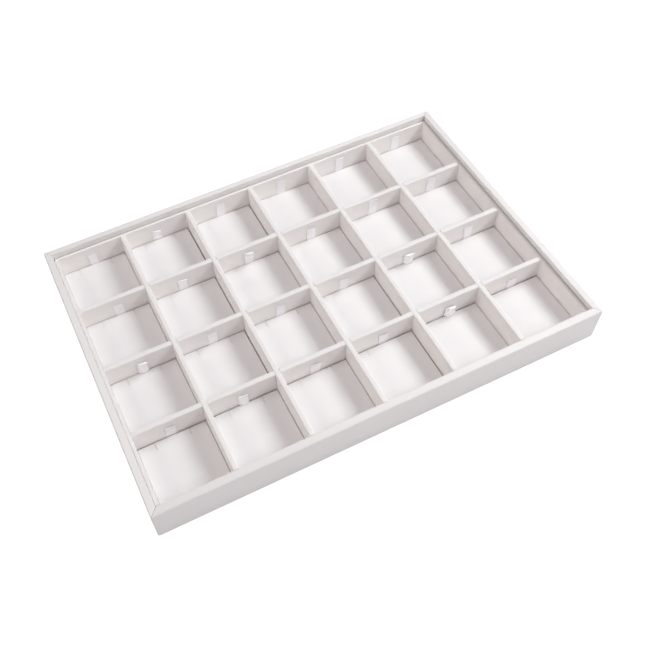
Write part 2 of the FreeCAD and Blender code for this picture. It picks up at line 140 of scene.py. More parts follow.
# The softboxes: place, aim, width and height in metres, power in watts, and colour. The right one is near and
# aimed over the tray, so that it lights both ends alike.
SOFTBOXES = {
    "right_softbox": ((0.6, 0.06, 0.7), (-1, -0.1, 0.25), (0.31, 0.62), 7.0, (0.94, 0.98, 1.0)),
    "front_right_softbox": ((1.15, -0.88, 1.35), (-1.15, 0.88, -1.35), (0.68, 0.68), 10.0, (1.0, 1.0, 0.99)),
    "left_softbox": ((-2.1, 0.0, 1.8), (2.1, 0.0, -1.8), (1.4, 1.4), 17.9, (1.0, 0.94, 0.87)),
}

# How far behind its pad's back face a ribbon's two plies stand, in millimetres.
PULL_BACK_PLY = 0.98
PULL_FRONT_PLY = 0.80

# A ribbon's route, in millimetres: the heights of its tails under the pad, where they begin to turn up, how
# far before its upright line and how high each ply turns, how far below the pad's top it runs straight, where
# the pull starts above that top, and how high a foot lies on it.
TAIL_LOW = 0.30
TAIL_HIGH = 0.60
TAIL_TURN = 1.2
BACK_TURN = (0.1, 1.2)
FRONT_TURN = (0.15, 1.3)
STRAIGHT_END = 0.6
PULL_START = 0.5
FOOT_HEIGHT = 0.25

# A pull's loop: points along each ply, how soon it reaches its lean, the width of a crease as a share of its
# height, how much less than its full width it opens, how it swells towards its top, and its top and
# shoulders in radii of the loop.
PULL_STEPS = 10
LEAN_HASTE = 2.5
CREASE_WIDTH = 0.09
LOOP_CLOSURE = 0.3
LOOP_SWELL = 1.4
LOOP_TOP = 1.2
LOOP_SHOULDERS = (0.3, 1.7)

# How far a loop opens at its left edge, and how it widens to the right without and with a foot on the pad.
LEFT_OPENING = 0.15
PLAIN_WIDENING = 0.9
FOOTED_WIDENING = 2.6

# How each ribbon pull stands: degrees that it leans forward, share of the full stand, degrees that its
# right end comes forward, degrees that it tips to the right, radius of its loop in millimetres, where and
# how deep its front ply is creased, as shares of its height and of its loop, and how many millimetres its
# foot comes forward over the pad.
PULL_FORMS = {
    "r1c1": (0.5, 0.87, 3, 0, 0.5, 0.5, 0.1, 0.0),
    "r1c2": (3, 0.86, 9, 0, 1.2, 0.75, 0.3, 0.6),
    "r1c3": (0.5, 1.03, 8, 2, 0.5, 0.6, 0.1, 0.0),
    "r1c4": (0.5, 1.12, 11, 2, 0.5, 0.7, 0.5, 0.0),
    "r1c5": (0.5, 1.07, 6, 1, 0.5, 0.5, 0.1, 0.0),
    "r1c6": (0.5, 1.13, 8, 1, 0.5, 0.5, 0.1, 0.0),
    "r2c1": (0.5, 0.96, 8, -1, 0.5, 0.5, 0.1, 0.0),
    "r2c2": (1, 0.93, 6, 0, 0.8, 0.7, 0.5, 0.3),
    "r2c3": (3, 1.08, 9, 1, 1.3, 0.84, 0.9, 0.8),
    "r2c4": (0.5, 0.97, 8, 1, 0.5, 0.5, 0.1, 0.0),
    "r2c5": (0.5, 1.22, 4, 1, 0.5, 0.5, 0.1, 0.0),
    "r2c6": (0.5, 1.11, 9, 1, 0.5, 0.5, 0.1, 0.0),
    "r3c1": (3, 0.97, 7, 2, 1.1, 0.6, 0.8, 1.9),
    "r3c2": (0.5, 1.02, 5, 1, 0.6, 0.6, 0.4, 0.0),
    "r3c3": (0.5, 0.92, 3, 1, 0.5, 0.5, 0.1, 0.0),
    "r3c4": (0.5, 0.95, 12, 1, 0.5, 0.5, 0.1, 0.0),
    "r3c5": (4, 0.86, 6, 1, 1.2, 0.6, 0.8, 2.3),
    "r3c6": (0.5, 1.02, 4, -4, 0.5, 0.6, 0.3, 0.0),
    "r4c1": (0.5, 0.90, 8, 2, 0.5, 0.5, 0.1, 0.0),
    "r4c2": (2, 0.94, 7, 0, 0.6, 0.5, 0.1, 2.0),
    "r4c3": (0.5, 0.87, 11, 0, 0.5, 0.5, 0.1, 0.0),
    "r4c4": (0.5, 0.84, 3, 1, 0.5, 0.5, 0.2, 0.0),
    "r4c5": (4, 0.80, 5, 4, 1.5, 0.80, 1.0, 3.0),
    "r4c6": (0.5, 0.78, 5, -4, 0.5, 0.6, 0.2, 0.0),
}

# How each loose pad lies in its compartment, in millimetres: the gaps at its left and right, the gaps behind
# its left and right half, how much higher it lies than the frame's, and the width that its slits gape to.
PAD_PLACES = {
    "r1c1": (0.02, 0.30, 0.24, 0.62, 0.0, 0.14),
    "r1c2": (0.20, 0.85, 0.24, 0.58, 0.6, 0.14),
    "r1c3": (0.20, 0.85, 0.24, 0.58, 0.2, 0.08),
    "r1c4": (0.40, 0.35, 0.24, 0.58, 0.0, 0.03),
    "r1c5": (0.40, 0.35, 0.24, 0.58, 0.7, 0.03),
    "r1c6": (0.40, 0.45, 0.24, 0.58, 0.6, 0.03),
    "r2c1": (0.02, 0.30, 0.24, 0.62, 0.1, 0.14),
    "r2c2": (0.40, 0.60, 0.24, 0.62, 0.0, 0.08),
    "r2c3": (0.40, 0.40, 0.24, 0.58, 0.3, 0.05),
    "r2c4": (0.40, 0.55, 0.24, 0.58, 0.0, 0.03),
    "r2c5": (0.40, 0.50, 0.24, 0.60, 1.0, 0.03),
    "r2c6": (0.40, 0.50, 0.24, 0.58, 1.0, 0.03),
    "r3c1": (0.02, 0.30, 0.35, 0.62, 0.6, 0.16),
    "r3c2": (0.30, 0.70, 0.35, 0.58, 0.0, 0.14),
    "r3c3": (0.40, 0.35, 0.35, 0.60, 0.3, 0.20),
    "r3c4": (0.25, 0.75, 0.35, 0.60, 0.2, 0.04),
    "r3c5": (0.40, 0.40, 0.35, 0.62, 0.3, 0.03),
    "r3c6": (0.30, 0.60, 0.35, 0.62, 0.0, 0.03),
    "r4c1": (0.02, 0.30, 0.80, 0.85, 0.0, 0.20),
    "r4c2": (0.40, 0.35, 0.80, 0.85, 0.0, 0.14),
    "r4c3": (0.40, 0.35, 0.80, 0.85, 0.0, 0.14),
    "r4c4": (0.20, 0.85, 0.80, 0.85, 0.0, 0.14),
    "r4c5": (0.40, 0.40, 0.80, 0.85, 0.0, 0.03),
    "r4c6": (0.40, 0.40, 0.80, 0.85, 0.2, 0.03),
}


def linear(hex_colour):
    """Linear red, green and blue of an sRGB hex colour."""
    shades = [int(hex_colour[place : place + 2], 16) / 255 for place in (1, 3, 5)]
    return tuple(v / 12.92 if v <= 0.04045 else ((v + 0.055) / 1.055) ** 2.4 for v in shades)


def length_property(name, description, millimetres):
    """A length that the user can change."""
    return bpy.props.FloatProperty(
        name=name, description=description, default=millimetres * MM, min=0, precision=5, unit="LENGTH"
    )


def colour_property(name, description, hex_colour):
    """A colour that the user can change."""
    return bpy.props.FloatVectorProperty(
        name=name, description=description, default=linear(hex_colour), min=0, max=1, subtype="COLOR"
    )


class TraySizes(bpy.types.PropertyGroup):
    """Lengths of the dressed tray that its frame doesn't give."""

    corner_round: length_property("Corner round", "Rounding of the frame's upright corners", 1.0)
    rim_outer_round: length_property("Rim outer round", "Fold of the covering over the rim's outer edge", 0.9)
    rim_inner_round: length_property("Rim inner round", "Fold of the covering over the rim's inner edge", 0.7)
    mitre_seam: length_property("Mitre seam", "Half the width of the seam where two walls meet", 0.16)
    mitre_gap: length_property("Mitre gap", "Half the gap left between two walls at their mitre", 0.14)
    rim_slope: length_property("Rim slope", "How much lower the rim's outer edge is than its inner", 0.45)
    base_fit: length_property("Base fit", "Clearance between the base and the walls' rebate", 0.1)
    liner_round: length_property("Liner round", "Rounding of a liner's top edges", 0.5)
    liner_fold: length_property("Liner fold", "Covering bunched behind the left liner", 0.5)
    divider_thickness: length_property("Divider thickness", "Covered divider board", 4.0)
    divider_round: length_property("Divider round", "Rounding of a divider's top edges", 0.7)
    lap_fit: length_property("Lap fit", "Clearance in the cross-halving notches", 0.1)
    pad_edge_round: length_property("Pad edge round", "Rolled top edge of a pad", 0.55)
    pad_crown: length_property("Pad crown", "How far a pad's middle stands above its edges", 0.12)
    slit_width: length_property("Slit width", "Chain slit in a pad's back edge", 0.5)
    slit_length: length_property("Slit length", "Chain slit, from the pad's back edge", 6.0)
    slit_spacing: length_property("Slit spacing", "Between the two slits of a pad", 26.0)
    recess_width: length_property("Recess width", "Room for a ribbon's tails under its pad", 13.4)
    ribbon_width: length_property("Ribbon width", "Satin ribbon", 7.4)
    ribbon_thickness: length_property("Ribbon thickness", "One ply of the ribbon", 0.14)
    ribbon_tail: length_property("Ribbon tail", "Ribbon held under a pad", 13.8)
    ribbon_stand: length_property("Ribbon stand", "Height of an upright pull above its pad", 13.0)


class TrayColours(bpy.types.PropertyGroup):
    """Colours of the tray's finishes."""

    leatherette: colour_property("Leatherette", "Covering of the walls, liners and dividers", "#F6F2EF")
    pad: colour_property("Pad leatherette", "Covering of the pads", "#F7F4F3")
    satin: colour_property("Satin", "Ribbon pulls", "#FFFDFF")
    fibreboard: colour_property("Fibreboard", "Bare base board", "#C2AE97")
    felt: colour_property("Felt", "Lining of the underside", "#D8D4CE")
    floor: colour_property("Floor", "Studio floor", "#F5F4F5")


def sizes():
    """The tray's lengths."""
    return bpy.context.scene.jewelry_tray_sizes


def colours():
    """The tray's colours."""
    return bpy.context.scene.jewelry_tray_colours


def add_node(tree, kind, settings=None, inputs=None):
    """Adds a shader node, sets its options, and gives each input a value or a link."""
    node = tree.nodes.new(kind)
    for option, value in (settings or {}).items():
        setattr(node, option, value)
    for socket, value in (inputs or {}).items():
        if isinstance(value, bpy.types.NodeSocket):
            tree.links.new(value, node.inputs[socket])
        else:
            node.inputs[socket].default_value = value
    return node


def new_material(name):
    """An empty node material, its tree and its output."""
    material = bpy.data.materials.new(name)
    material.use_nodes = True
    tree = material.node_tree
    tree.nodes.clear()
    return material, tree, add_node(tree, "ShaderNodeOutputMaterial")


def shade_of(colour, share):
    """A colour made darker, as red, green, blue and alpha."""
    return (*[channel * share for channel in colour], 1)


def embossed_leatherette(name, colour, grain, relief, roughness):
    """PU-coated leatherette with an embossed pebble grain: soft satin light, faint mottling, no sharp gloss.

    The real grain is about half a millimetre, too fine to show, so it is drawn about twice as coarse.
    """
    material, tree, output = new_material(name)
    place = add_node(tree, "ShaderNodeTexCoord").outputs["Object"]
    pebbles = add_node(
        tree,
        "ShaderNodeTexVoronoi",
        {"feature": "SMOOTH_F1"},
        {"Vector": place, "Scale": 1 / grain, "Smoothness": 0.7, "Randomness": 0.9},
    )
    creases = add_node(tree, "ShaderNodeTexNoise", None, {"Vector": place, "Scale": 0.4 / grain, "Detail": 4})
    relief_sum = add_node(
        tree,
        "ShaderNodeMath",
        {"operation": "MULTIPLY_ADD"},
        {0: creases.outputs["Fac"], 1: 0.6, 2: pebbles.outputs["Distance"]},
    )
    bump = add_node(
        tree, "ShaderNodeBump", None, {"Strength": 0.5, "Distance": relief, "Height": relief_sum.outputs[0]}
    )
    mottling = add_node(
        tree,
        "ShaderNodeTexNoise",
        None,
        {"Vector": place, "Scale": 1 / (28 * MM), "Detail": 5, "Roughness": 0.6},
    )
    tone = add_node(
        tree,
        "ShaderNodeMix",
        {"data_type": "RGBA"},
        {0: mottling.outputs["Fac"], 6: shade_of(colour, 0.97), 7: shade_of(colour, 1.0)},
    )
    gloss = add_node(
        tree,
        "ShaderNodeMapRange",
        None,
        {"Value": creases.outputs["Fac"], "To Min": roughness - 0.08, "To Max": roughness + 0.1},
    )
    shader = add_node(
        tree,
        "ShaderNodeBsdfPrincipled",
        None,
        {
            "Base Color": tone.outputs[2],
            "Roughness": gloss.outputs["Result"],
            "Normal": bump.outputs["Normal"],
            "IOR": 1.5,
        },
    )
    tree.links.new(shader.outputs["BSDF"], output.inputs["Surface"])
    return material


def woven_satin(name, colour, width, strip_length):
    """Polyester satin ribbon: lengthwise floats that catch the light, and a firm selvedge along both edges.

    The real threads are about 0.15 mm apart, too fine to show, so they are drawn 0.5 and 0.7 mm apart.
    """
    material, tree, output = new_material(name)
    place = add_node(tree, "ShaderNodeTexCoord").outputs["UV"]
    flat = add_node(
        tree, "ShaderNodeMapping", None, {"Vector": place, "Scale": (width / MM, strip_length / MM, 1)}
    )
    floats = add_node(
        tree,
        "ShaderNodeTexWave",
        {"bands_direction": "X"},
        {
            "Vector": flat.outputs["Vector"],
            "Scale": WAVE_BAND / FLOAT_SPACING,
            "Distortion": 0.6,
            "Detail": 1,
        },
    )
    picks = add_node(
        tree,
        "ShaderNodeTexWave",
        {"bands_direction": "Y"},
        {
            "Vector": flat.outputs["Vector"],
            "Scale": WAVE_BAND / PICK_SPACING,
            "Distortion": 0.8,
            "Detail": 1,
        },
    )
    weave = add_node(
        tree,
        "ShaderNodeMath",
        {"operation": "MULTIPLY_ADD"},
        {0: picks.outputs["Fac"], 1: 0.5, 2: floats.outputs["Fac"]},
    )
    bump = add_node(
        tree, "ShaderNodeBump", None, {"Strength": 0.35, "Distance": 0.05 * MM, "Height": weave.outputs[0]}
    )
    across = add_node(tree, "ShaderNodeSeparateXYZ", None, {"Vector": place})
    from_middle = add_node(
        tree, "ShaderNodeMath", {"operation": "SUBTRACT"}, {0: across.outputs["X"], 1: 0.5}
    )
    off_middle = add_node(tree, "ShaderNodeMath", {"operation": "ABSOLUTE"}, {0: from_middle.outputs[0]})
    selvedge = add_node(
        tree, "ShaderNodeMapRange", None, {"Value": off_middle.outputs[0], "From Min": 0.42, "From Max": 0.47}
    )
    tone = add_node(
        tree,
        "ShaderNodeMix",
        {"data_type": "RGBA"},
        {0: selvedge.outputs["Result"], 6: shade_of(colour, 1.0), 7: shade_of(colour, 0.93)},
    )
    gloss = add_node(
        tree, "ShaderNodeMapRange", None, {"Value": floats.outputs["Fac"], "To Min": 0.38, "To Max": 0.5}
    )
    shader = add_node(
        tree,
        "ShaderNodeBsdfPrincipled",
        None,
        {
            "Base Color": tone.outputs[2],
            "Roughness": gloss.outputs["Result"],
            "Normal": bump.outputs["Normal"],
            "Anisotropic": 0.4,
            "Sheen Weight": 0.15,
            "Sheen Roughness": 0.4,
        },
    )
    tree.links.new(shader.outputs["BSDF"], output.inputs["Surface"])
    return material


def pressed_fibreboard(name, colour):
    """Bare pressed fibreboard: matte, with pale and dark fibre flecks about 1 mm long."""
    material, tree, output = new_material(name)
    place = add_node(tree, "ShaderNodeTexCoord").outputs["Object"]
    flecks = add_node(
        tree,
        "ShaderNodeTexNoise",
        None,
        {"Vector": place, "Scale": 1 / (1.1 * MM), "Detail": 6, "Roughness": 0.7},
    )
    clouds = add_node(
        tree, "ShaderNodeTexNoise", None, {"Vector": place, "Scale": 1 / (18 * MM), "Detail": 3}
    )
    depth = add_node(
        tree,
        "ShaderNodeMath",
        {"operation": "MULTIPLY"},
        {0: flecks.outputs["Fac"], 1: clouds.outputs["Fac"]},
    )
    shares = add_node(
        tree, "ShaderNodeMapRange", None, {"Value": depth.outputs[0], "From Min": 0.12, "From Max": 0.4}
    )
    tone = add_node(
        tree,
        "ShaderNodeMix",
        {"data_type": "RGBA"},
        {0: shares.outputs["Result"], 6: shade_of(colour, 0.72), 7: shade_of(colour, 1.15)},
    )
    bump = add_node(
        tree,
        "ShaderNodeBump",
        None,
        {"Strength": 0.4, "Distance": 0.08 * MM, "Height": flecks.outputs["Fac"]},
    )
    shader = add_node(
        tree,
        "ShaderNodeBsdfPrincipled",
        None,
        {"Base Color": tone.outputs[2], "Roughness": 0.85, "Normal": bump.outputs["Normal"]},
    )
    tree.links.new(shader.outputs["BSDF"], output.inputs["Surface"])
    return material


def napped_felt(name, colour):
    """Pressed wool-blend felt: matted fibres with a short nap that scatters light at its edge."""
    material, tree, output = new_material(name)
    place = add_node(tree, "ShaderNodeTexCoord").outputs["Object"]
    nap = add_node(
        tree,
        "ShaderNodeTexNoise",
        None,
        {"Vector": place, "Scale": 1 / (0.9 * MM), "Detail": 7, "Roughness": 0.75},
    )
    matting = add_node(
        tree, "ShaderNodeTexNoise", None, {"Vector": place, "Scale": 1 / (9 * MM), "Detail": 4}
    )
    thickness = add_node(
        tree,
        "ShaderNodeMath",
        {"operation": "MULTIPLY_ADD"},
        {0: matting.outputs["Fac"], 1: 0.8, 2: nap.outputs["Fac"]},
    )
    shares = add_node(
        tree, "ShaderNodeMapRange", None, {"Value": thickness.outputs[0], "From Min": 0.6, "From Max": 1.2}
    )
    tone = add_node(
        tree,
        "ShaderNodeMix",
        {"data_type": "RGBA"},
        {0: shares.outputs["Result"], 6: shade_of(colour, 0.82), 7: shade_of(colour, 1.04)},
    )
    bump = add_node(
        tree, "ShaderNodeBump", None, {"Strength": 0.7, "Distance": 0.2 * MM, "Height": nap.outputs["Fac"]}
    )
    shader = add_node(
        tree,
        "ShaderNodeBsdfPrincipled",
        None,
        {
            "Base Color": tone.outputs[2],
            "Roughness": 0.95,
            "Normal": bump.outputs["Normal"],
            "Sheen Weight": 0.35,
            "Sheen Roughness": 0.6,
        },
    )
    tree.links.new(shader.outputs["BSDF"], output.inputs["Surface"])
    return material


def board_covering():
    """The leatherette of walls, liners and dividers, made once."""
    name = "embossed_leatherette"
    return bpy.data.materials.get(name) or embossed_leatherette(
        name, colours().leatherette, grain=1.1 * MM, relief=0.10 * MM, roughness=0.52
    )


def add_box(name, low, high):
    """Adds a box between two corners, with its place in its mesh, as the only selected object."""
    bpy.ops.object.select_all(action="DESELECT")
    bpy.ops.mesh.primitive_cube_add(size=1, location=(low + high) / 2, scale=high - low)
    bpy.ops.object.transform_apply(location=True, rotation=True, scale=True)
    piece = bpy.context.active_object
    piece.name = name
    piece.data.name = name
    return piece


def pick(piece, kind, test):
    """Selects, in edit mode, the faces or edges of a piece that pass a test."""
    bpy.ops.mesh.select_mode(type=kind)
    bpy.ops.mesh.select_all(action="DESELECT")
    mesh = bmesh.from_edit_mesh(piece.data)
    found = [item for item in (mesh.faces if kind == "FACE" else mesh.edges) if test(item)]
    if not found:
        raise RuntimeError(f"{piece.name}: nothing to select")
    for item in found:
        item.select_set(True)
    mesh.select_flush_mode()
    bmesh.update_edit_mesh(piece.data)


def lies_at(edge, direction, reach):
    """Whether both ends of an edge lie at a distance along a direction."""
    return all(abs(corner.co.dot(direction) - reach) < TOUCHING for corner in edge.verts)


def runs_along(edge, direction):
    """Whether an edge runs along a direction."""
    run = edge.verts[1].co - edge.verts[0].co
    return abs(run.dot(direction)) > PARALLEL * run.length


def apply_modifier(piece, kind, settings):
    """Adds a modifier to a piece and applies it."""
    modifier = piece.modifiers.new(kind.lower(), kind)
    for option, value in settings.items():
        setattr(modifier, option, value)
    bpy.ops.object.select_all(action="DESELECT")
    piece.select_set(True)
    bpy.context.view_layer.objects.active = piece
    bpy.ops.object.modifier_apply(modifier=modifier.name)


def cut_out(piece, cutter):
    """Cuts one object out of a piece and removes it."""
    apply_modifier(piece, "BOOLEAN", {"operation": "DIFFERENCE", "solver": "EXACT", "object": cutter})
    bpy.data.meshes.remove(cutter.data)


def smooth(piece, degrees=BOARD_SMOOTH):
    """Shades a piece smooth, except over edges sharper than an angle."""
    bpy.ops.object.select_all(action="DESELECT")
    piece.select_set(True)
    bpy.context.view_layer.objects.active = piece
    bpy.ops.object.shade_smooth_by_angle(angle=math.radians(degrees))


def copy_of(piece, name, placement):
    """A copy of a piece, with its own mesh, set elsewhere."""
    copy = piece.copy()
    copy.data = piece.data.copy()
    copy.name = name
    copy.data.name = name
    bpy.context.scene.collection.objects.link(copy)
    copy.data.transform(placement)
    return copy


def dress(piece, material, body, node):
    """Gives a piece its finish and body, and lets it stand for a node of the frame."""
    piece.data.materials.clear()
    piece.data.materials.append(material)
    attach(piece, body)
    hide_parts(node)


def model_wall(name, node, outward, along):
    """A covered wall: rounded corner, sloped rim, rebate for the base, and mitred ends with a fine seam."""
    low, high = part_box(node)
    reach = max(low.dot(outward), high.dot(outward))
    thickness = WALL_HIGH.y - WALL_LOW.y
    end = Vector((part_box("right_wall")[1].x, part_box("back_wall")[1].y, 0)).dot(along)
    flat_low = Vector(low)
    flat_high = Vector(high)
    axis = 0 if along.x else 1
    flat_low[axis] = -end
    flat_high[axis] = end
    piece = add_box(name, flat_low, flat_high)
    inner_reach = reach - thickness

    def at_rim(edge):
        return lies_at(edge, UPWARD, high.z)

    def at_inner_side(edge):
        return lies_at(edge, outward, inner_reach)

    bpy.ops.object.mode_set(mode="EDIT")
    pick(piece, "EDGE", lambda edge: runs_along(edge, UPWARD) and lies_at(edge, outward, reach))
    bpy.ops.mesh.bevel(offset=sizes().corner_round, segments=6, affect="EDGES", clamp_overlap=False)
    pick(piece, "EDGE", lambda edge: at_rim(edge) and not at_inner_side(edge))
    bpy.ops.mesh.bevel(offset=sizes().rim_outer_round, segments=6, affect="EDGES", clamp_overlap=False)
    pick(piece, "EDGE", lambda edge: at_rim(edge) and at_inner_side(edge))
    bpy.ops.mesh.bevel(offset=sizes().rim_inner_round, segments=4, affect="EDGES", clamp_overlap=False)
    bpy.ops.object.mode_set(mode="OBJECT")

    fit = Vector((sizes().base_fit, sizes().base_fit, 0))
    panel_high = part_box("base_panel")[1]
    cut_out(piece, add_box("rebate", FELT_LOW - fit - UPWARD * CUTTER_MARGIN, panel_high + fit))

    bpy.ops.object.mode_set(mode="EDIT")
    for side in (-1, 1):
        mitre = (along * side - outward).normalized()
        corner = along * (side * end) + outward * reach - mitre * sizes().mitre_gap
        bpy.ops.mesh.select_all(action="SELECT")
        bpy.ops.mesh.bisect(
            plane_co=corner, plane_no=mitre, use_fill=True, clear_outer=True, threshold=CUT_TOLERANCE
        )
        pick(
            piece,
            "EDGE",
            lambda edge: sum(face.normal.dot(mitre) > PARALLEL for face in edge.link_faces) == 1,
        )
        bpy.ops.mesh.bevel(offset=sizes().mitre_seam, segments=2, affect="EDGES", clamp_overlap=False)
    bpy.ops.object.mode_set(mode="OBJECT")
    for corner in piece.data.vertices:
        if corner.co.z > high.z - RIM_ZONE:
            corner.co.z -= sizes().rim_slope * (corner.co.dot(outward) - inner_reach) / thickness
    smooth(piece)
    return piece


class MakeWalls(bpy.types.Operator):
    """Models the front and right walls, and sets their twins opposite them"""

    bl_idname = "jewelry_tray.make_walls"
    bl_label = "Make Walls"

    def execute(self, context):
        front = model_wall("front_wall_covered", "front_wall", FRONTWARD, RIGHTWARD)
        right = model_wall("right_wall_covered", "right_wall", RIGHTWARD, -FRONTWARD)
        walls = {
            "front_wall": front,
            "right_wall": right,
            "back_wall": copy_of(front, "back_wall_covered", HALF_TURN),
            "left_wall": copy_of(right, "left_wall_covered", HALF_TURN),
        }
        for node, wall in walls.items():
            dress(wall, board_covering(), TRAY_BODY, node)
        return {"FINISHED"}


def model_board(name, low, high, along, rounding):
    """A covered board with its top edges rounded along its length."""
    piece = add_box(name, low, high)
    bpy.ops.object.mode_set(mode="EDIT")
    pick(piece, "EDGE", lambda edge: runs_along(edge, along) and lies_at(edge, UPWARD, high.z))
    bpy.ops.mesh.bevel(offset=rounding, segments=5, affect="EDGES", clamp_overlap=False)
    bpy.ops.object.mode_set(mode="OBJECT")
    return piece


class MakeLiners(bpy.types.Operator):
    """Models the long and the short liner board, and sets their twins opposite them"""

    bl_idname = "jewelry_tray.make_liners"
    bl_label = "Make Liners"

    def execute(self, context):
        rounding = sizes().liner_round
        front = model_board("front_liner_covered", *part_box("front_liner"), RIGHTWARD, rounding)
        right = model_board("right_liner_covered", *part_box("right_liner"), FRONTWARD, rounding)
        smooth(front)
        smooth(right)
        left = copy_of(right, "left_liner_covered", HALF_TURN)
        left_low, left_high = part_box("left_liner")
        for corner in left.data.vertices:
            if corner.co.x < (left_low.x + left_high.x) / 2:
                corner.co.x -= sizes().liner_fold
        liners = {
            "front_liner": front,
            "right_liner": right,
            "back_liner": copy_of(front, "back_liner_covered", HALF_TURN),
            "left_liner": left,
        }
        for node, liner in liners.items():
            dress(liner, board_covering(), TRAY_BODY, node)
        return {"FINISHED"}


def model_divider(name, low, high, along, crossings, pitch, from_above):
    """A covered divider, notched halfway through where the boards of the other set cross it."""
    piece = model_board(name, low, high, along, sizes().divider_round)
    middle = (low + high) / 2
    half = sizes().divider_thickness / 2 + sizes().lap_fit
    first = middle - along * (pitch * (crossings - 1) / 2)
    across = Vector((along.y, along.x, 0))
    reach = along * half + across * (2 * half)
    notch_low = first - reach
    notch_high = first + reach
    notch_low.z = middle.z if from_above else low.z - CUTTER_MARGIN
    notch_high.z = high.z + CUTTER_MARGIN if from_above else middle.z
    cutter = add_box("notches", notch_low, notch_high)
    spacing = {"count": crossings, "use_relative_offset": False, "use_constant_offset": True}
    apply_modifier(cutter, "ARRAY", {**spacing, "constant_offset_displace": along * pitch})
    cut_out(piece, cutter)
    smooth(piece)
    return piece


class MakeDividers(bpy.types.Operator):
    """Models one long and one cross divider, and repeats each in its row"""

    bl_idname = "jewelry_tray.make_dividers"
    bl_label = "Make Dividers"

    def execute(self, context):
        thickness = sizes().divider_thickness
        row_pitch = (LONG_HIGH.y - LONG_LOW.y - thickness) / (ROWS - 2)
        column_pitch = (CROSS_HIGH.x - CROSS_LOW.x - thickness) / (COLUMNS - 2)
        backward = -FRONTWARD
        long_high = Vector((LONG_HIGH.x, LONG_LOW.y + thickness, LONG_HIGH.z))
        cross_high = Vector((CROSS_LOW.x + thickness, CROSS_HIGH.y, CROSS_HIGH.z))
        long_board = model_divider(
            "long_divider_1", LONG_LOW, long_high, RIGHTWARD, COLUMNS - 1, column_pitch, True
        )
        cross_board = model_divider(
            "cross_divider_1", CROSS_LOW, cross_high, backward, ROWS - 1, row_pitch, False
        )
        rows = (
            ("long_divider", long_board, "long_dividers", backward * row_pitch, ROWS - 1),
            ("cross_divider", cross_board, "cross_dividers", RIGHTWARD * column_pitch, COLUMNS - 1),
        )
        for label, board, node, step, count in rows:
            copies = [
                copy_of(board, f"{label}_{number + 1}", Matrix.Translation(step * number))
                for number in range(1, count)
            ]
            for divider in [board, *copies]:
                dress(divider, board_covering(), TRAY_BODY, node)
        return {"FINISHED"}


class MakeBase(bpy.types.Operator):
    """Lays the felt sheet under the base board, and finishes the board"""

    bl_idname = "jewelry_tray.make_base"
    bl_label = "Make Base"

    def execute(self, context):
        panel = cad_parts["base_panel"]
        panel.data.materials.clear()
        panel.data.materials.append(pressed_fibreboard("pressed_fibreboard", colours().fibreboard))

        size = FELT_HIGH - FELT_LOW
        bpy.ops.object.select_all(action="DESELECT")
        bpy.ops.mesh.primitive_grid_add(
            x_subdivisions=88, y_subdivisions=62, size=1, location=(0, 0, FELT_HIGH.z)
        )
        bpy.ops.transform.resize(value=(size.x, size.y, 1))
        bpy.ops.object.transform_apply(location=True, rotation=True, scale=True)
        felt = bpy.context.active_object
        felt.name = "felt_lining"
        felt.data.name = "felt_lining"
        apply_modifier(felt, "SOLIDIFY", {"thickness": size.z, "offset": -1})
        # The pressed sheet is a little thinner and thicker from place to place on its free side.
        for corner in felt.data.vertices:
            if corner.co.z < FELT_HIGH.z - size.z / 2:
                corner.co.z = size.z * FELT_UNEVENNESS * abs(noise.noise(corner.co / FELT_PATCH))
        smooth(felt)
        dress(felt, napped_felt("napped_felt", colours().felt), TRAY_BODY, "base_lining")
        return {"FINISHED"}


def pad_profile(x, y, half):
    """How much of its crown a pad has at a place, from none at its edge to all in its middle."""
    across = max(0.0, 1 - (x / half.x) ** PAD_CROWN_POWER)
    along = max(0.0, 1 - (y / half.y) ** PAD_CROWN_POWER)
    return across * along


